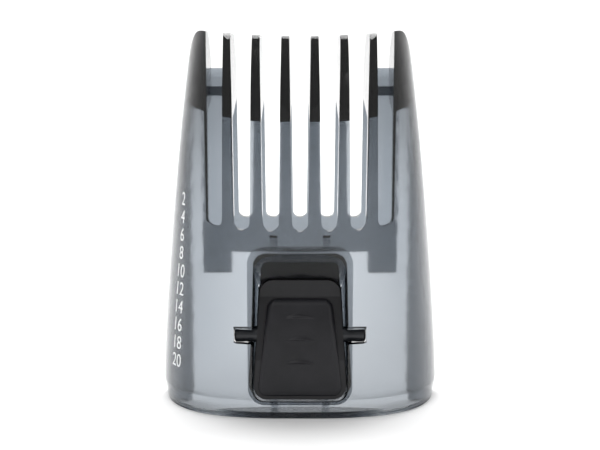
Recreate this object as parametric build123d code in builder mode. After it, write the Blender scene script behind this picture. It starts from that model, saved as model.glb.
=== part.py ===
"""Adjustable comb guide of a hair clipper: one clear smoke moulding and its release button.

Frame: +Z runs up the teeth, the skin side faces -Y, +X is the button's right.
The origin is the middle of the footprint, at the level of the lower rim.
Depths are measured from the front apex towards +Y.
"""

import math
import os

from build123d import *

os.makedirs("parts", exist_ok=True)

# Overall size of the comb moulding
HEIGHT = 77.6
DEPTH = 23.5
FRONT = -DEPTH / 2
RIM_HALF_WIDTH = 29.8
CROWN_CENTRE = 28.0  # depth of the centre of the oval plan
WALL = 1.7
REAR_WALL = 2.6
REAR_CORNER = 1.7
BEVEL_TOP = 3.9  # height of the crease above the bevelled rim
BEVEL_IN = 0.8
BEAD_HEIGHT = 0.6  # a low bead inside the rim
BEAD_DEPTH = 1.1
TONGUE_RADIUS = 32.8  # the rim widens inwards, under the button, into a crescent tongue
TONGUE_BACK = 8.9
TONGUE_THICK = 1.2
OPEN_BACK_HALF_WIDTH = 23.4

# Teeth and slots
PITCH = 5.8
OUTER_SLOT_X = 17.1
SLOT_BOTTOM = 38.2
END_SLOT_RISE = 0.4  # the two end slots start this much higher
FLARE_HEIGHT = 66.0  # above this the slots flare, so that the teeth come to narrow tips
FLARE = 0.25
TIP_HALF_WIDTH = 22.9  # the end teeth are cut in to this at the very top
TIP_CORNER = 3.4
TIP_SAG = 1.2  # the middle teeth are this much shorter than the end teeth
CEILING_FRONT = 59.8
CEILING_REAR = 63.4
CROSSBAR_TOP = 69.9
TIE_BOTTOM = 64.3  # a deeper tie between the end teeth, in front of the crossbar
TIE_TOP = 66.2
TIE_FRONT = 17.0

# Rear wall
PANEL_BOTTOM = 26.3
MIDDLE_BOTTOM = 30.9
PANEL_GAP_INSIDE = 20.7  # a gap parts the rear wall from each side wall, from here outwards
PANEL_GAP_TOP = 61.5
PANEL_HALF_WIDTH = 14.7  # the middle of the rear wall stops higher up, between these

# Button well in the front wall
WELL_HALF_WIDTH = 9.7
WELL_BOTTOM = 3.45
WELL_TOP = 33.9
WELL_CORNER = 2.6
WELL_DEEP_TOP = 28.4
WELL_DEEP_HALF_WIDTH = 8.2
WELL_DEPTH = 3.6
WELL_LIP = 0.75
WELL_BACK = 4.4

# Rocker button on its pin
PIVOT_DEPTH = 3.6
PIVOT_HEIGHT = 16.8
PIN_RADIUS = 1.6
PIN_HALF_LENGTH = 13.2
PIN_WINDOW = 2.95  # narrower than the pin, which stays behind it
BEARING_CLEARANCE = 0.06
BUTTON_GAP = 0.25

# Posts and spring seat behind the button
POST_X = 5.2
POST_THICK = 1.5
POST_BACK = 8.5
STUB_TOP = 37.3
STUB_BACK = 2.9
SEAT_HEIGHT = 7.5
SEAT_SIZE = 6.4
SEAT_FRONT = 7.3
SPRING_RADIUS = 1.7
SPRING_WIRE = 0.4
SPRING_TURNS = 3


def y_at(depth):
    """The y of a depth behind the front apex."""
    return FRONT + depth


def wall_plane(depth):
    """An upright plane at a depth, drawn in x and z."""
    return Plane.XZ.offset(-y_at(depth))


def half_width(z):
    """Half the width of the oval plan, which narrows towards the tips."""
    return RIM_HALF_WIDTH - 0.025 * z - 0.00082 * z * z


def squareness(z):
    """Exponent of the oval plan: squarer at the rim, rounder along the teeth."""
    return 2.2 + 0.6 * max(0.0, 1.0 - z / SLOT_BOTTOM)


def plan(z, inset, back):
    """The oval plan at a height, drawn in from the outside and cut off flat at a depth."""
    a = half_width(z) - inset
    b = CROWN_CENTRE - inset
    n = squareness(z)
    far = math.atan2(a, CROWN_CENTRE - back)
    with BuildSketch(Plane.XY.offset(z)) as outline:
        with BuildLine():
            points = []
            for i in range(-8, 9):
                turn = far * i / 8
                reach = ((abs(math.sin(turn)) / a) ** n + (math.cos(turn) / b) ** n) ** (-1 / n)
                points.append((reach * math.sin(turn), y_at(CROWN_CENTRE - reach * math.cos(turn))))
            curve = Spline(*points)
            Line(curve @ 1, curve @ 0)
        make_face()
        fillet(outline.vertices(), REAR_CORNER - inset / 2)
    return outline.sketch


def slot_outline(depth, x, bottom, half, half_top):
    """A slot with a round bottom that opens a little upwards, and more at the tips."""
    with BuildSketch(wall_plane(depth)) as outline:
        with BuildLine():
            Line((x - half_top, FLARE_HEIGHT), (x - half, bottom + half))
            ThreePointArc((x - half, bottom + half), (x, bottom), (x + half, bottom + half))
            Line((x + half, bottom + half), (x + half_top, FLARE_HEIGHT))
            Line((x + half_top, FLARE_HEIGHT), (x + half_top + FLARE, HEIGHT))
            Line((x + half_top + FLARE, HEIGHT), (x - half_top - FLARE, HEIGHT))
            Line((x - half_top - FLARE, HEIGHT), (x - half_top, FLARE_HEIGHT))
        make_face()
    return outline.sketch


def well_outline(depth, half, top_half, top, grow=0.0):
    """The well's outline at a depth: straight at the front, narrower at the top where it is deep."""
    low = WELL_BOTTOM - grow
    with BuildSketch(wall_plane(depth)) as outline:
        with BuildLine():
            Polyline(
                (-half - grow, low),
                (half + grow, low),
                (top_half + grow, top + grow),
                (-top_half - grow, top + grow),
                close=True,
            )
        make_face()
        fillet(outline.vertices(), WELL_CORNER + grow)
    return outline.sketch


# ---------------------------------------------------------------- comb body
with BuildPart() as skin:
    with BuildSketch(Plane.XY):
        add(plan(0, BEVEL_IN, DEPTH))
    add(plan(BEVEL_TOP, 0, DEPTH))
    loft(ruled=True)
    for height in (BEVEL_TOP, 18, SLOT_BOTTOM, 57, HEIGHT):
        add(plan(height, 0, DEPTH))
    loft()

with BuildPart() as arch:
    # Side view of the teeth: round over the front, flat on top, round down the back
    with BuildSketch(Plane.YZ):
        with BuildLine():
            Line((y_at(-1), -1), (y_at(-1), 60))
            Line((y_at(-1), 60), (y_at(0), 60))
            Spline(
                (y_at(0), 60),
                (y_at(2.0), 70.8),
                (y_at(9.0), HEIGHT),
                tangents=((0, 1), (1, 0.1)),
            )
            Line((y_at(9.0), HEIGHT), (y_at(13.5), HEIGHT))
            Spline(
                (y_at(13.5), HEIGHT),
                (y_at(20.3), 74.6),
                (y_at(DEPTH), 68),
                tangents=((1, 0), (0.1, -1)),
            )
            Line((y_at(DEPTH), 68), (y_at(DEPTH + 1), 68))
            Line((y_at(DEPTH + 1), 68), (y_at(DEPTH + 1), -1))
            Line((y_at(DEPTH + 1), -1), (y_at(-1), -1))
        make_face()
    extrude(amount=RIM_HALF_WIDTH + 2, both=True)

with BuildPart() as cavity:
    for height in (-1, 18, SLOT_BOTTOM, 57, 68):
        add(plan(max(height, 0), WALL, DEPTH - REAR_WALL).moved(Location((0, 0, min(height, 0)))))
    loft()

with BuildPart() as well_wall:
    # The lip around the button well, from inside the front wall to behind it
    lip_outline = well_outline(1.5, WELL_HALF_WIDTH, WELL_HALF_WIDTH, WELL_TOP, WELL_LIP)
    extrude(lip_outline, amount=1.5 - WELL_BACK)

with BuildPart() as well_slope:
    add(well_outline(0, WELL_HALF_WIDTH, WELL_HALF_WIDTH, WELL_TOP))
    add(well_outline(WELL_DEPTH, WELL_HALF_WIDTH, WELL_DEEP_HALF_WIDTH, WELL_DEEP_TOP))
    loft(ruled=True)

with BuildPart() as well_mouth:
    extrude(well_outline(0.01, WELL_HALF_WIDTH, WELL_HALF_WIDTH, WELL_TOP), amount=2)

with BuildPart() as well_throat:
    deep_outline = well_outline(
        WELL_DEPTH - 0.01, WELL_HALF_WIDTH, WELL_DEEP_HALF_WIDTH, WELL_DEEP_TOP
    )
    extrude(deep_outline, amount=-2)

with BuildPart() as posts:
    # Two posts stand up from the tongue and carry the spring seat; two ribs stiffen the wall above
    for side in (-1, 1):
        with BuildSketch(Plane.YZ.offset(side * POST_X)):
            with BuildLine():
                Polyline(
                    (y_at(SEAT_FRONT), 0.1),
                    (y_at(POST_BACK), 0.1),
                    (y_at(POST_BACK), SEAT_HEIGHT + SEAT_SIZE / 2),
                    (y_at(SEAT_FRONT), SEAT_HEIGHT + SEAT_SIZE / 2),
                    close=True,
                )
            make_face()
            with BuildLine():
                Polyline(
                    (y_at(1.2), WELL_TOP + 0.6),
                    (y_at(STUB_BACK), WELL_TOP + 0.6),
                    (y_at(STUB_BACK), STUB_TOP - 0.6),
                    (y_at(STUB_BACK - 0.6), STUB_TOP),
                    (y_at(1.2), STUB_TOP),
                    close=True,
                )
            make_face()
        extrude(amount=POST_THICK / 2, both=True)
    with BuildSketch(wall_plane(SEAT_FRONT)):
        with Locations((0, SEAT_HEIGHT)):
            RectangleRounded(2 * POST_X + POST_THICK, SEAT_SIZE, 0.4)
    extrude(amount=SEAT_FRONT - POST_BACK)
    with BuildSketch(wall_plane(SEAT_FRONT)):
        with Locations((0, SEAT_HEIGHT)):
            Circle(SPRING_RADIUS - SPRING_WIRE)
    extrude(amount=0.7)

with BuildPart() as comb_body:
    add(skin.part)
    add(arch.part, mode=Mode.INTERSECT)
    # Rounded outer corners of the end teeth, seen from the front
    with BuildSketch(wall_plane(-1)):
        with BuildLine():
            Polyline(
                (-RIM_HALF_WIDTH - 2, -1),
                (-RIM_HALF_WIDTH - 2, 60),
                (-TIP_HALF_WIDTH, HEIGHT),
                (TIP_HALF_WIDTH, HEIGHT),
                (RIM_HALF_WIDTH + 2, 60),
                (RIM_HALF_WIDTH + 2, -1),
                close=True,
            )
        make_face()
        fillet(vertices().group_by(Axis.Y)[-1], TIP_CORNER)
    extrude(amount=-(DEPTH + 2), mode=Mode.INTERSECT)
    # The row of tips sags a little towards the middle
    sag_radius = (20**2 + TIP_SAG**2) / (2 * TIP_SAG)
    with BuildSketch(wall_plane(-1)):
        with Locations((0, HEIGHT - TIP_SAG + sag_radius)):
            Circle(sag_radius)
    extrude(amount=-(DEPTH + 2), mode=Mode.SUBTRACT)
    # The hollow for the clipper's head, under a ceiling that slopes up to the back
    with BuildPart(mode=Mode.PRIVATE) as head_room:
        add(cavity.part)
        with BuildSketch(Plane.YZ):
            with BuildLine():
                Polyline(
                    (y_at(-2), -2),
                    (y_at(-2), CEILING_FRONT),
                    (y_at(WALL + 1.0), CEILING_FRONT),
                    (y_at(DEPTH - REAR_WALL), CEILING_REAR),
                    (y_at(DEPTH + 2), CEILING_REAR),
                    (y_at(DEPTH + 2), -2),
                    close=True,
                )
            make_face()
        extrude(amount=40, both=True, mode=Mode.INTERSECT)
    add(head_room.part, mode=Mode.SUBTRACT)
    # The bead inside the rim, and the tongue under the button
    with BuildSketch(Plane.XY):
        add(plan(0, BEVEL_IN, DEPTH))
        add(plan(0, WALL + BEAD_DEPTH, DEPTH + 1), mode=Mode.SUBTRACT)
    extrude(amount=BEAD_HEIGHT)
    with BuildSketch(Plane.XY):
        with Locations((0, y_at(TONGUE_BACK - TONGUE_RADIUS))):
            Circle(TONGUE_RADIUS)
        add(plan(0, BEVEL_IN, DEPTH), mode=Mode.INTERSECT)
    extrude(amount=TONGUE_THICK)

    # Open back below the rear wall and up beside it
    with BuildSketch(wall_plane(DEPTH + 1)):
        with BuildLine():
            Polyline(
                (-OPEN_BACK_HALF_WIDTH, -1),
                (-OPEN_BACK_HALF_WIDTH, PANEL_GAP_TOP),
                (-PANEL_GAP_INSIDE, PANEL_GAP_TOP),
                (-PANEL_GAP_INSIDE, PANEL_BOTTOM),
                (-PANEL_HALF_WIDTH, PANEL_BOTTOM),
                (-PANEL_HALF_WIDTH, MIDDLE_BOTTOM),
                (PANEL_HALF_WIDTH, MIDDLE_BOTTOM),
                (PANEL_HALF_WIDTH, PANEL_BOTTOM),
                (PANEL_GAP_INSIDE, PANEL_BOTTOM),
                (PANEL_GAP_INSIDE, PANEL_GAP_TOP),
                (OPEN_BACK_HALF_WIDTH, PANEL_GAP_TOP),
                (OPEN_BACK_HALF_WIDTH, -1),
                close=True,
            )
        make_face()
        fillet(vertices().filter_by(lambda v: v.Z > 10), 1.2)
    extrude(amount=REAR_WALL + 2.2, mode=Mode.SUBTRACT)

    # Slots between the teeth, narrower at the back
    for i in (-2, -1, 0, 1, 2):
        add(slot_outline(-1, i * PITCH, SLOT_BOTTOM, 1.6, 1.94))
        add(slot_outline(DEPTH + 1, i * PITCH, SLOT_BOTTOM, 1.43, 1.75))
        loft(ruled=True, mode=Mode.SUBTRACT)
    for side in (-1, 1):
        # The end slots are closed at the back by a panel with a bar along its top
        x = side * OUTER_SLOT_X
        with BuildPart(mode=Mode.PRIVATE) as end_slot:
            add(slot_outline(-1, x, SLOT_BOTTOM + END_SLOT_RISE, 1.5, 1.7))
            add(slot_outline(DEPTH + 1, x, SLOT_BOTTOM + END_SLOT_RISE, 1.35, 1.55))
            loft(ruled=True)
            with BuildSketch(Plane.YZ):
                with BuildLine():
                    Polyline(
                        (y_at(DEPTH - REAR_WALL), 30),
                        (y_at(DEPTH + 2), 30),
                        (y_at(DEPTH + 2), CROSSBAR_TOP),
                        (y_at(DEPTH - REAR_WALL), CROSSBAR_TOP),
                        (y_at(DEPTH - REAR_WALL), TIE_TOP),
                        (y_at(TIE_FRONT), TIE_TOP),
                        (y_at(TIE_FRONT), TIE_BOTTOM),
                        (y_at(DEPTH - REAR_WALL), TIE_BOTTOM),
                        close=True,
                    )
                make_face()
            extrude(amount=40, both=True, mode=Mode.SUBTRACT)
        add(end_slot.part, mode=Mode.SUBTRACT)

    add(well_wall.part)
    for hollow in (well_slope, well_mouth, well_throat):
        add(hollow.part, mode=Mode.SUBTRACT)
    add(posts.part)

    # Seats for the pin's two ends: a round bore behind a lower window, open at the back to snap in
    pin_plane = Plane.YZ.offset(-PIN_HALF_LENGTH - BEARING_CLEARANCE)
    with BuildSketch(pin_plane):
        with Locations((y_at(PIVOT_DEPTH), PIVOT_HEIGHT)):
            Circle(PIN_RADIUS + BEARING_CLEARANCE)
    extrude(amount=2 * (PIN_HALF_LENGTH + BEARING_CLEARANCE), mode=Mode.SUBTRACT)
    with BuildSketch(wall_plane(-1)):
        with Locations((0, PIVOT_HEIGHT)):
            RectangleRounded(2 * (PIN_HALF_LENGTH + BEARING_CLEARANCE), PIN_WINDOW, 0.6)
    extrude(amount=-8, mode=Mode.SUBTRACT)

comb_body.part.label = "comb_body"

# ---------------------------------------------------------------- release button
BUTTON_HALF_WIDTH = WELL_HALF_WIDTH - BUTTON_GAP
BUTTON_TOP_HALF_WIDTH = WELL_DEEP_HALF_WIDTH - BUTTON_GAP
BUTTON_BOTTOM = WELL_BOTTOM + 0.45
BUTTON_TOP = WELL_DEEP_TOP - 0.6
BUTTON_FACE = 0.9  # depth of the face around the thumb pad, low down
BUTTON_ARM_FACE = 3.6  # and at the top arm
FLANGE_HALF_WIDTH = 10.3
FLANGE_TOP_HALF_WIDTH = 8.7  # a flange runs up behind the well's slope and carries the latch tooth
FLANGE_TOP = 32.8
FLANGE_FRONT = WELL_BACK + 0.2
FLANGE_THICK = 0.7
FLANGE_LEAN = 9.5  # degrees that its upper half leans back, to leave room for the press
LATCH_HEIGHT = 26.7
LATCH_REACH = 9.2
LATCH_HALF_WIDTH = 3.6
PAD_BOTTOM = 4.6
PAD_TOP = 24.2
PAD_HALF_WIDTH = 8.6
PAD_TOP_HALF_WIDTH = 6.5
RIDGE_HEIGHTS = (11.8, 16.4, 21.0)
RIDGE_RADIUS = 9.0
RIDGE_HALF_WIDTH = 2.7


def button_outline(depth, low, high, half, half_high, corner, corner_high):
    """A plate that narrows upwards, seen from the front."""
    with BuildSketch(wall_plane(depth)) as outline:
        with BuildLine():
            Polyline((-half, low), (half, low), (half_high, high), (-half_high, high), close=True)
        make_face()
        ends = outline.vertices().group_by(Axis.Z)
        fillet(ends[0], corner)
        fillet(ends[-1], corner_high)
    return outline.sketch


with BuildPart() as pad_prism:
    pad_outline = button_outline(
        0, PAD_BOTTOM, PAD_TOP, PAD_HALF_WIDTH, PAD_TOP_HALF_WIDTH, 2.4, 1.6
    )
    extrude(pad_outline, amount=-5)

with BuildPart() as button_prism:
    plate_outline = button_outline(
        0,
        BUTTON_BOTTOM,
        BUTTON_TOP,
        BUTTON_HALF_WIDTH,
        BUTTON_TOP_HALF_WIDTH,
        WELL_CORNER,
        WELL_CORNER,
    )
    extrude(plate_outline, amount=-8)

with BuildPart() as flange_prism:
    flange_outline = button_outline(
        0,
        BUTTON_BOTTOM,
        FLANGE_TOP,
        FLANGE_HALF_WIDTH,
        FLANGE_TOP_HALF_WIDTH,
        WELL_CORNER,
        WELL_CORNER,
    )
    extrude(flange_outline, amount=-12)

with BuildPart() as pad_block:
    # Side view of the thumb pad: flush low down, sinking towards its top edge
    with BuildSketch(Plane.YZ):
        with BuildLine():
            Spline(
                (y_at(0.75), PAD_BOTTOM - 0.1),
                (y_at(0.4), 8),
                (y_at(0.5), 13),
                (y_at(1.3), 20),
                (y_at(2.5), PAD_TOP + 0.1),
            )
            Line((y_at(2.5), PAD_TOP + 0.1), (y_at(4.0), PAD_TOP + 0.1))
            Line((y_at(4.0), PAD_TOP + 0.1), (y_at(2.2), PAD_BOTTOM - 0.1))
            Line((y_at(2.2), PAD_BOTTOM - 0.1), (y_at(0.75), PAD_BOTTOM - 0.1))
        make_face()
    extrude(amount=12, both=True)
    add(pad_prism.part, mode=Mode.INTERSECT)

with BuildPart() as ridges:
    # Three crescent ridges across the pad
    for height in RIDGE_HEIGHTS:
        with BuildSketch(wall_plane(-1)):
            with BuildLine():
                sag = RIDGE_HALF_WIDTH**2 / (2 * RIDGE_RADIUS)
                left = (-RIDGE_HALF_WIDTH, height - sag)
                right = (RIDGE_HALF_WIDTH, height - sag)
                ThreePointArc(left, (0, height + 0.3), right)
                ThreePointArc(right, (0, height - 0.35), left)
            make_face()
        extrude(amount=-5)
    add(pad_block.part.moved(Location((0, -0.25, 0))), mode=Mode.INTERSECT)

with BuildPart() as flange:
    lean = math.tan(math.radians(FLANGE_LEAN)) * (FLANGE_TOP - PIVOT_HEIGHT - 1)
    with BuildSketch(Plane.YZ):
        with BuildLine():
            Polyline(
                (y_at(FLANGE_FRONT), BUTTON_BOTTOM),
                (y_at(FLANGE_FRONT), PIVOT_HEIGHT + 1),
                (y_at(FLANGE_FRONT + lean), FLANGE_TOP),
                (y_at(FLANGE_FRONT + FLANGE_THICK + lean), FLANGE_TOP),
                (y_at(FLANGE_FRONT + FLANGE_THICK), PIVOT_HEIGHT + 1),
                (y_at(FLANGE_FRONT + FLANGE_THICK), BUTTON_BOTTOM),
                close=True,
            )
        make_face()
    extrude(amount=14, both=True)
    add(flange_prism.part, mode=Mode.INTERSECT)

with BuildPart() as release_button:
    # Side view: upright low down, leaning back to a deep arm
    with BuildSketch(Plane.YZ):
        with BuildLine():
            Polyline(
                (y_at(BUTTON_FACE), BUTTON_BOTTOM),
                (y_at(BUTTON_FACE), 12),
                (y_at(BUTTON_ARM_FACE), 24.5),
                (y_at(BUTTON_ARM_FACE + 0.1), BUTTON_TOP),
                (y_at(6.5), BUTTON_TOP),
                (y_at(FLANGE_FRONT + 0.2), PIVOT_HEIGHT + 1),
                (y_at(FLANGE_FRONT + 0.2), BUTTON_BOTTOM),
                close=True,
            )
        make_face()
    extrude(amount=12, both=True)
    add(button_prism.part, mode=Mode.INTERSECT)
    add(flange.part)
    # Latch tooth on the back of the flange
    with BuildSketch(Plane.YZ):
        with BuildLine():
            Polyline(
                (y_at(6.0), LATCH_HEIGHT - 3.3),
                (y_at(LATCH_REACH), LATCH_HEIGHT - 0.5),
                (y_at(LATCH_REACH), LATCH_HEIGHT + 0.5),
                (y_at(6.6), LATCH_HEIGHT + 1.1),
                close=True,
            )
        make_face()
    extrude(amount=LATCH_HALF_WIDTH, both=True)
    # Pocket for the spring
    with BuildSketch(wall_plane(2.3)):
        with Locations((0, SEAT_HEIGHT)):
            Circle(SPRING_RADIUS + SPRING_WIRE / 2 + 0.25)
    extrude(amount=-5, mode=Mode.SUBTRACT)
    add(pad_block.part, mode=Mode.SUBTRACT)
    with BuildSketch(Plane.YZ.offset(-PIN_HALF_LENGTH)):
        with Locations((y_at(PIVOT_DEPTH), PIVOT_HEIGHT)):
            Circle(PIN_RADIUS)
    extrude(amount=2 * PIN_HALF_LENGTH, mode=Mode.SUBTRACT)
release_button.part.label = "release_button"

with BuildPart() as pivot_pin:
    with BuildSketch(Plane.YZ.offset(-PIN_HALF_LENGTH)):
        with Locations((y_at(PIVOT_DEPTH), PIVOT_HEIGHT)):
            Circle(PIN_RADIUS)
    extrude(amount=2 * PIN_HALF_LENGTH)
    chamfer(edges().filter_by(GeomType.CIRCLE), 0.3)
pivot_pin.part.label = "pivot_pin"

with BuildPart() as thumb_pad:
    add(pad_block.part)
    add(ridges.part)
    add(pivot_pin.part, mode=Mode.SUBTRACT)
thumb_pad.part.label = "thumb_pad"

with BuildPart() as return_spring:
    start = 2.75 + SPRING_WIRE / 2
    travel = SEAT_FRONT - 0.04 - SPRING_WIRE / 2 - start
    with BuildLine() as coil:
        Helix(
            pitch=travel / SPRING_TURNS,
            height=travel,
            radius=SPRING_RADIUS,
            center=(0, y_at(start), SEAT_HEIGHT),
            direction=(0, 1, 0),
        )
    with BuildSketch(Plane(coil.line @ 0, z_dir=coil.line % 0)):
        Circle(SPRING_WIRE / 2)
    sweep(path=coil.line, is_frenet=True)
return_spring.part.label = "return_spring"

for piece in (comb_body, release_button, thumb_pad, pivot_pin, return_spring):
    export_step(piece.part, f"parts/{piece.part.label}.step")
    print(piece.part.label, round(piece.part.volume, 2), len(piece.solids()), piece.part.bounding_box())
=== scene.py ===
import math

import bpy
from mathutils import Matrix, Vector
from mathutils.bvhtree import BVHTree


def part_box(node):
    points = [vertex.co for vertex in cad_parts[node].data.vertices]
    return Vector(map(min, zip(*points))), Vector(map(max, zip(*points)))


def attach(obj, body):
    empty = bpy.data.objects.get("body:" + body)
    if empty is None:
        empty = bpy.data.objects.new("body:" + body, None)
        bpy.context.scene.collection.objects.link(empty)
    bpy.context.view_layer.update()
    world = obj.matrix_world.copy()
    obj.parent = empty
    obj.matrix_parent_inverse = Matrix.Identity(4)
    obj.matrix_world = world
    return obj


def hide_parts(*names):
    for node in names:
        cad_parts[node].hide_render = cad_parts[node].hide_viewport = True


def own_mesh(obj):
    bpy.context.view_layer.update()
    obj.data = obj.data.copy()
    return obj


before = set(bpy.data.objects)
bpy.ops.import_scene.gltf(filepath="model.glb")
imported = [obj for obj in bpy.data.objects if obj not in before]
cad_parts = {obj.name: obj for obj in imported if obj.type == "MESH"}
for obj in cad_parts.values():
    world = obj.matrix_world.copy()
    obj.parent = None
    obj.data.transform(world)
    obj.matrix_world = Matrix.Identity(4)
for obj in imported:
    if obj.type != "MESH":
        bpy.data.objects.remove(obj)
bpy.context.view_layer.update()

MM = 0.001


def node_box(name):
    """A CAD node's lowest and highest corners at rest."""
    low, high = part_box(name)
    return Vector(low), Vector(high)


COMB_LOW, COMB_HIGH = node_box("comb_body")
FRONT = COMB_LOW.y
MIDDLE_Z = (COMB_LOW.z + COMB_HIGH.z) / 2

# ------------------------------------------------------------------ material helpers


def new_material(name):
    """A node material, with its nodes, links and main shader."""
    material = bpy.data.materials.new(name)
    material.use_nodes = True
    nodes = material.node_tree.nodes
    return material, nodes, material.node_tree.links, nodes["Principled BSDF"]


def object_noise(nodes, links, scale, detail=3.0, stretch=(1, 1, 1)):
    """Noise in the object's own frame, so that it stays put in every view."""
    place = nodes.new("ShaderNodeTexCoord")
    mapping = nodes.new("ShaderNodeMapping")
    mapping.inputs["Scale"].default_value = stretch
    noise = nodes.new("ShaderNodeTexNoise")
    noise.inputs["Scale"].default_value = scale
    noise.inputs["Detail"].default_value = detail
    links.new(place.outputs["Object"], mapping.inputs["Vector"])
    links.new(mapping.outputs["Vector"], noise.inputs["Vector"])
    return noise.outputs["Fac"]


def ramp(nodes, links, factor, low, high, start=0.3, end=0.7):
    """A two-stop colour ramp over a factor."""
    stops = nodes.new("ShaderNodeValToRGB")
    stops.color_ramp.elements[0].position = start
    stops.color_ramp.elements[0].color = (*low, 1)
    stops.color_ramp.elements[1].position = end
    stops.color_ramp.elements[1].color = (*high, 1)
    links.new(factor, stops.inputs["Fac"])
    return stops.outputs["Color"]


def span(nodes, links, factor, low, high):
    """A factor moved to the range low to high."""
    mapped = nodes.new("ShaderNodeMapRange")
    mapped.inputs["To Min"].default_value = low
    mapped.inputs["To Max"].default_value = high
    links.new(factor, mapped.inputs["Value"])
    return mapped.outputs["Result"]


def bump(nodes, links, shader, height, strength, distance):
    """Relief on a shader's surface from a height, in metres."""
    node = nodes.new("ShaderNodeBump")
    node.inputs["Strength"].default_value = strength
    node.inputs["Distance"].default_value = distance
    links.new(height, node.inputs["Height"])
    links.new(node.outputs["Normal"], shader.inputs["Normal"])


SMOKE_IOR = 1.5
SMOKE_TINT = (0.35, 0.39, 0.43, 1)
SMOKE_DENSITY = 1000  # per metre: one wall stays clear, and a whole tooth looks black
BLACK_SPECULAR = 0.32


def smoke_plastic():
    """Clear smoke plastic: glossy faces, darker with depth, with faint flow and handling haze."""
    material, nodes, links, shader = new_material("smoke_plastic")
    shader.inputs["Transmission Weight"].default_value = 1.0
    shader.inputs["IOR"].default_value = SMOKE_IOR
    flow = object_noise(nodes, links, 55, 4, (1, 1, 0.35))
    links.new(ramp(nodes, links, flow, (0.93, 0.95, 0.97), (1, 1, 1)), shader.inputs["Base Color"])
    haze = object_noise(nodes, links, 260, 5)
    links.new(span(nodes, links, haze, 0.05, 0.16), shader.inputs["Roughness"])
    bump(nodes, links, shader, flow, 0.12, 0.0006)
    depth = nodes.new("ShaderNodeVolumeAbsorption")
    depth.inputs["Color"].default_value = SMOKE_TINT
    depth.inputs["Density"].default_value = SMOKE_DENSITY
    output = next(n for n in nodes if n.type == "OUTPUT_MATERIAL")
    links.new(depth.outputs["Volume"], output.inputs["Volume"])
    return material


def satin_black(name, dark, light, grain, rough):
    """Moulded black plastic with spark-eroded grain, worn a little smoother in patches."""
    material, nodes, links, shader = new_material(name)
    patches = object_noise(nodes, links, 180, 4)
    links.new(ramp(nodes, links, patches, dark, light), shader.inputs["Base Color"])
    links.new(span(nodes, links, patches, rough - 0.08, rough + 0.08), shader.inputs["Roughness"])
    shader.inputs["Specular IOR Level"].default_value = BLACK_SPECULAR
    texture = object_noise(nodes, links, grain, 6)
    bump(nodes, links, shader, texture, 0.12, 0.00008)
    return material


def drawn_wire():
    """Bright drawn steel wire."""
    material, nodes, links, shader = new_material("drawn_wire")
    shader.inputs["Metallic"].default_value = 1.0
    lines = object_noise(nodes, links, 900, 5, (1, 0.2, 1))
    colour = ramp(nodes, links, lines, (0.42, 0.42, 0.44), (0.68, 0.68, 0.7))
    links.new(colour, shader.inputs["Base Color"])
    links.new(span(nodes, links, lines, 0.2, 0.38), shader.inputs["Roughness"])
    bump(nodes, links, shader, lines, 0.2, 0.00003)
    return material


def white_ink():
    """Printed white ink, slightly uneven."""
    material, nodes, links, shader = new_material("white_ink")
    cover = object_noise(nodes, links, 1400, 4)
    colour = ramp(nodes, links, cover, (0.72, 0.73, 0.74), (0.92, 0.92, 0.92))
    links.new(colour, shader.inputs["Base Color"])
    links.new(span(nodes, links, cover, 0.45, 0.65), shader.inputs["Roughness"])
    bump(nodes, links, shader, cover, 0.15, 0.00002)
    return material


EDGE_SEGMENTS = 3
SHARP_EDGE = math.radians(35)
COMB_EDGE = 0.28 * MM
BUTTON_EDGE = 0.3 * MM


def give(node, material):
    """One material on a CAD node."""
    piece = bpy.data.objects[node]
    piece.data.materials.clear()
    piece.data.materials.append(material)
    return piece


def soft_edges(piece, width):
    """Small radii on a moulding's sharp edges."""
    edge = piece.modifiers.new("soft_edges", "BEVEL")
    edge.width = width
    edge.segments = EDGE_SEGMENTS
    edge.limit_method = "ANGLE"
    edge.angle_limit = SHARP_EDGE
    edge.use_clamp_overlap = False
    edge.harden_normals = False


comb = give("comb_body", smoke_plastic())
button = give(
    "release_button",
    satin_black("button_black", (0.006, 0.006, 0.007), (0.011, 0.011, 0.013), 2600, 0.40),
)
give("thumb_pad", satin_black("pad_black", (0.006, 0.006, 0.008), (0.012, 0.012, 0.015), 3200, 0.46))
give("pivot_pin", satin_black("pin_dark", (0.008, 0.009, 0.011), (0.02, 0.022, 0.026), 1500, 0.25))
give("return_spring", drawn_wire())
soft_edges(comb, COMB_EDGE)
soft_edges(button, BUTTON_EDGE)

# ------------------------------------------------------------------ thumb pad
# A soft-edged pad with three low crescent ridges, set into the button's face

PAD_LOW, PAD_HIGH = node_box("thumb_pad")
PAD_HALF_BOTTOM = 8.6 * MM
PAD_HALF_TOP = 6.5 * MM
PAD_CORNER = 2.0 * MM
PAD_ROLL = 1.3 * MM
PAD_SUNK = 0.35 * MM  # how far its back lies inside the button's face
# (height, depth behind the front) in millimetres, of the pad's face and of the plate around it
FACE_PROFILE = [(4.6, 0.62), (8.0, 0.4), (13.0, 0.5), (17.0, 0.86), (20.0, 1.3), (22.6, 1.95), (24.2, 2.45)]
PLATE_PROFILE = [(4.6, 0.95), (12.0, 0.95), (24.2, 3.55)]
RIDGES = (11.8 * MM, 16.4 * MM, 21.0 * MM)
RIDGE_RADIUS = 9.0 * MM
RIDGE_HALF_WIDTH = 2.9 * MM
RIDGE_HALF_HEIGHT = 0.5 * MM
RIDGE_RISE = 0.36 * MM


def smooth(t):
    """An S-shaped step from 0 to 1."""
    t = min(max(t, 0.0), 1.0)
    return t * t * (3 - 2 * t)


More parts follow.
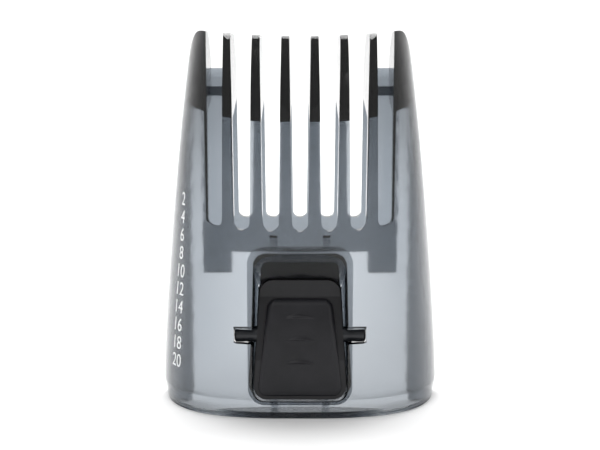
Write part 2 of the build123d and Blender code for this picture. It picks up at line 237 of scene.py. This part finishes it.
def depth_at(profile, z):
    """The depth at a height on a side profile, whose points are joined by smooth curves."""
    last = len(profile) - 1
    i = 0
    while i < last - 1 and z > profile[i + 1][0] * MM:
        i += 1
    (z0, d0), (z1, d1) = profile[i], profile[i + 1]
    before = profile[max(i - 1, 0)]
    after = profile[min(i + 2, last)]
    slope0 = (d1 - before[1]) / max(z1 - before[0], 1e-6)
    slope1 = (after[1] - d0) / max(after[0] - z0, 1e-6)
    run = z1 - z0
    t = min(max((z / MM - z0) / run, 0.0), 1.0)
    h00, h10 = 2 * t**3 - 3 * t**2 + 1, t**3 - 2 * t**2 + t
    h01, h11 = -2 * t**3 + 3 * t**2, t**3 - t**2
    return (h00 * d0 + h10 * run * slope0 + h01 * d1 + h11 * run * slope1) * MM


def ridge_rise(x, z):
    """How far a crescent ridge stands up at a point."""
    best = 0.0
    for centre in RIDGES:
        arc_z = centre - RIDGE_RADIUS + math.sqrt(max(RIDGE_RADIUS**2 - x * x, 0.0))
        taper = max(0.0, 1.0 - (x / RIDGE_HALF_WIDTH) ** 2)
        if taper > 0:
            reach = abs(z - arc_z) / (RIDGE_HALF_HEIGHT * (0.35 + 0.65 * taper))
            best = max(best, RIDGE_RISE * taper * smooth(1 - reach))
    return best


def make_pad(columns=96, rows=150):
    """The pad's crowned face with a rolled rim, closed by a back inside the button."""
    low, high = PAD_LOW.z, PAD_HIGH.z
    front, back = [], []
    for j in range(rows + 1):
        v = j / rows
        z = low + (high - low) * v
        half = PAD_HALF_BOTTOM + (PAD_HALF_TOP - PAD_HALF_BOTTOM) * v
        inset = max(PAD_CORNER - min(z - low, high - z), 0.0)
        half -= PAD_CORNER - math.sqrt(PAD_CORNER**2 - inset**2)
        for i in range(columns + 1):
            x = half * math.sin(math.pi * (i / columns - 0.5))
            edge = min(half - abs(x), z - low, high - z)
            roll = 1 - math.sqrt(max(0.0, 1 - (1 - min(edge / PAD_ROLL, 1.0)) ** 2))
            face = depth_at(FACE_PROFILE, z)
            plate = depth_at(PLATE_PROFILE, z)
            depth = face + (plate - face) * roll - ridge_rise(x, z)
            front.append((x, FRONT + depth, z))
            back.append((x * 0.999, FRONT + plate + PAD_SUNK, z))
    count = len(front)
    quads = []
    for j in range(rows):
        for i in range(columns):
            a = j * (columns + 1) + i
            b, c, d = a + 1, a + columns + 2, a + columns + 1
            quads.append((a, b, c, d))
            quads.append((count + d, count + c, count + b, count + a))
    rim = list(range(columns + 1))
    rim += [j * (columns + 1) + columns for j in range(1, rows + 1)]
    rim += [rows * (columns + 1) + i for i in range(columns - 1, -1, -1)]
    rim += [j * (columns + 1) for j in range(rows - 1, 0, -1)]
    for k, a in enumerate(rim):
        b = rim[(k + 1) % len(rim)]
        quads.append((a, count + a, count + b, b))
    mesh = bpy.data.meshes.new("soft_thumb_pad")
    mesh.from_pydata(front + back, [], quads)
    mesh.validate()
    for polygon in mesh.polygons:
        polygon.use_smooth = True
    piece = bpy.data.objects.new("soft_thumb_pad", mesh)
    bpy.context.scene.collection.objects.link(piece)
    mesh.materials.append(bpy.data.objects["thumb_pad"].data.materials[0])
    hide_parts("thumb_pad")
    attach(piece, "button")
    return piece


make_pad()

# ------------------------------------------------------------------ return spring
# The coil rides on the comb

SPRING_LOW, SPRING_HIGH = node_box("return_spring")
SPRING_WIRE_RADIUS = 0.2 * MM
SPRING_TURNS = 3
SPRING_ROOM = 0.15 * MM  # the coil is this much slimmer than its CAD solid


def make_spring(steps=36, sides=12):
    """A round wire wound along Y, with its end turns closed up."""
    middle = (SPRING_LOW + SPRING_HIGH) / 2
    radius = (SPRING_HIGH.x - SPRING_LOW.x) / 2 - SPRING_WIRE_RADIUS - SPRING_ROOM
    start = SPRING_LOW.y + SPRING_WIRE_RADIUS
    travel = SPRING_HIGH.y - SPRING_LOW.y - 2 * SPRING_WIRE_RADIUS
    total = (SPRING_TURNS + 1) * steps
    rings = []
    for i in range(total + 1):
        t = i / total
        turn = 2 * math.pi * (SPRING_TURNS + 1) * t
        along = start + travel * (smooth(t) * 0.6 + t * 0.4)
        outward = Vector((math.cos(turn), 0, math.sin(turn)))
        centre = Vector((middle.x, along, middle.z)) + outward * radius
        rings.append(
            [
                centre + (outward * math.cos(a) + Vector((0, 1, 0)) * math.sin(a)) * SPRING_WIRE_RADIUS
                for a in (2 * math.pi * k / sides for k in range(sides))
            ]
        )
    points = [tuple(point) for ring in rings for point in ring]
    quads = []
    for i in range(total):
        for k in range(sides):
            a, b = i * sides + k, i * sides + (k + 1) % sides
            quads.append((a, a + sides, b + sides, b))
    quads.append(tuple(range(sides)))
    quads.append(tuple(total * sides + k for k in reversed(range(sides))))
    mesh = bpy.data.meshes.new("coiled_spring")
    mesh.from_pydata(points, [], quads)
    mesh.validate()
    for polygon in mesh.polygons:
        polygon.use_smooth = len(polygon.vertices) == 4
    piece = bpy.data.objects.new("coiled_spring", mesh)
    bpy.context.scene.collection.objects.link(piece)
    mesh.materials.append(bpy.data.objects["return_spring"].data.materials[0])
    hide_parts("return_spring")
    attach(piece, "comb")
    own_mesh(piece)
    return piece


make_spring()

# ------------------------------------------------------------------ length scale
# Even numbers from 2 at the top to 20 at the bottom, printed on the left side

DIGIT_HEIGHT = 2.7 * MM
DIGIT_SHARE = 0.7  # of the font's size
OUTSIDE = 60 * MM  # further out than any part of the comb
INK_DEPTH = 0.05 * MM
SCALE_COUNT = 10
SCALE_TOP = 43.0 * MM
SCALE_STEP = 3.7 * MM
SCALE_DEPTH_TOP = 13.7 * MM  # the row leans towards the front as it goes down
SCALE_DEPTH_BOTTOM = 10.0 * MM

comb_tree = BVHTree.FromPolygons(
    [v.co for v in comb.data.vertices], [tuple(p.vertices) for p in comb.data.polygons]
)


def side_point(y, z):
    """A point on the left side's outer face, at a y and a height, and the face's direction there."""
    hit, normal, _, _ = comb_tree.ray_cast(Vector((-OUTSIDE, y, z)), Vector((1, 0, 0)))
    return hit, normal


def printed_number(text, z, y):
    """A number laid on the comb's left side, a hair proud of it."""
    curve = bpy.data.curves.new("number_" + text, "FONT")
    curve.body = text
    curve.size = DIGIT_HEIGHT / DIGIT_SHARE
    curve.align_x = "CENTER"
    curve.align_y = "CENTER"
    holder = bpy.data.objects.new("number_holder", curve)
    bpy.context.scene.collection.objects.link(holder)
    bpy.context.view_layer.update()
    shaped = holder.evaluated_get(bpy.context.evaluated_depsgraph_get())
    flat = bpy.data.meshes.new_from_object(shaped)
    bpy.data.objects.remove(holder)
    centre, normal = side_point(y, z)
    normal.z = 0
    normal.normalize()
    along = Vector((0, 0, 1)).cross(normal).normalized()
    for vertex in flat.vertices:
        place = centre + along * vertex.co.x + Vector((0, 0, vertex.co.y))
        hit, _, _, _ = comb_tree.ray_cast(place + normal * 0.01, -normal)
        vertex.co = (hit if hit else place) + normal * INK_DEPTH
    piece = bpy.data.objects.new("scale_number_" + text, flat)
    bpy.context.scene.collection.objects.link(piece)
    thick = piece.modifiers.new("ink", "SOLIDIFY")
    thick.thickness = INK_DEPTH * 0.8
    thick.offset = -1
    flat.materials.clear()
    flat.materials.append(INK)
    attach(piece, "comb")
    return piece


INK = white_ink()
for index in range(SCALE_COUNT):
    height = SCALE_TOP - index * SCALE_STEP
    depth = SCALE_DEPTH_TOP + (SCALE_DEPTH_BOTTOM - SCALE_DEPTH_TOP) * index / (SCALE_COUNT - 1)
    printed_number(str(2 * index + 2), height, FRONT + depth)

# ------------------------------------------------------------------ studio

# A pale paper sweep: its side view as (y, z) points, flat in front and rising behind
SWEEP = [(-1.2, 0.0), (0.35, 0.0), (0.6, 0.03), (0.78, 0.14), (0.88, 0.35), (0.9, 1.6)]
SWEEP_HALF_WIDTH = 1.6
FLOOR_GAP = 0.1 * MM
WORLD_STRENGTH = 0.5
floor_mesh = bpy.data.meshes.new("studio_floor")
points = [(x, y, z) for y, z in SWEEP for x in (-SWEEP_HALF_WIDTH, SWEEP_HALF_WIDTH)]
quads = [(2 * i, 2 * i + 1, 2 * i + 3, 2 * i + 2) for i in range(len(SWEEP) - 1)]
floor_mesh.from_pydata(points, [], quads)
floor = bpy.data.objects.new("studio_floor", floor_mesh)
floor.location.z = COMB_LOW.z - FLOOR_GAP
bpy.context.scene.collection.objects.link(floor)
for polygon in floor_mesh.polygons:
    polygon.use_smooth = True
material, nodes, links, shader = new_material("paper")
links.new(
    ramp(nodes, links, object_noise(nodes, links, 9), (0.90, 0.90, 0.90), (0.93, 0.93, 0.93)),
    shader.inputs["Base Color"],
)
shader.inputs["Roughness"].default_value = 0.9
floor_mesh.materials.append(material)

world = bpy.data.worlds.new("studio")
world.use_nodes = True
world.node_tree.nodes["Background"].inputs["Color"].default_value = (1, 1, 1, 1)
world.node_tree.nodes["Background"].inputs["Strength"].default_value = WORLD_STRENGTH
bpy.context.scene.world = world


def soft_light(name, place, size, power):
    """A rectangular light aimed at the object's middle."""
    lamp = bpy.data.lights.new(name, "AREA")
    lamp.shape = "RECTANGLE"
    lamp.size, lamp.size_y = size
    lamp.energy = power
    holder = bpy.data.objects.new(name, lamp)
    holder.location = place
    aim = Vector((0, 0, MIDDLE_Z)) - Vector(place)
    holder.rotation_euler = aim.to_track_quat("-Z", "Y").to_euler()
    bpy.context.scene.collection.objects.link(holder)


soft_light("key", (-0.25, -0.45, 0.6), (0.35, 0.35), 1.2)
soft_light("fill", (0.5, -0.4, 0.3), (0.3, 0.5), 0.5)
soft_light("back_wash", (0, 0.3, 0.6), (0.9, 0.5), 8)

# ------------------------------------------------------------------ camera

LENS = 75  # mm, on a 36 mm wide sensor
SENSOR_WIDTH = 36
EYE_DISTANCE = 0.2462
EYE_ELEVATION = math.radians(8.2)
AIM = Vector((0, FRONT, 0.0396))
camera_data = bpy.data.cameras.new("camera")
camera_data.lens = LENS
camera_data.sensor_width = SENSOR_WIDTH
camera_data.clip_start = 0.01
camera = bpy.data.objects.new("camera", camera_data)
towards_eye = Vector((0, -math.cos(EYE_ELEVATION), math.sin(EYE_ELEVATION)))
camera.location = AIM + EYE_DISTANCE * towards_eye
camera.rotation_euler = (AIM - camera.location).to_track_quat("-Z", "Y").to_euler()
bpy.context.scene.collection.objects.link(camera)
bpy.context.scene.camera = camera
bpy.context.scene.view_settings.view_transform = "Standard"
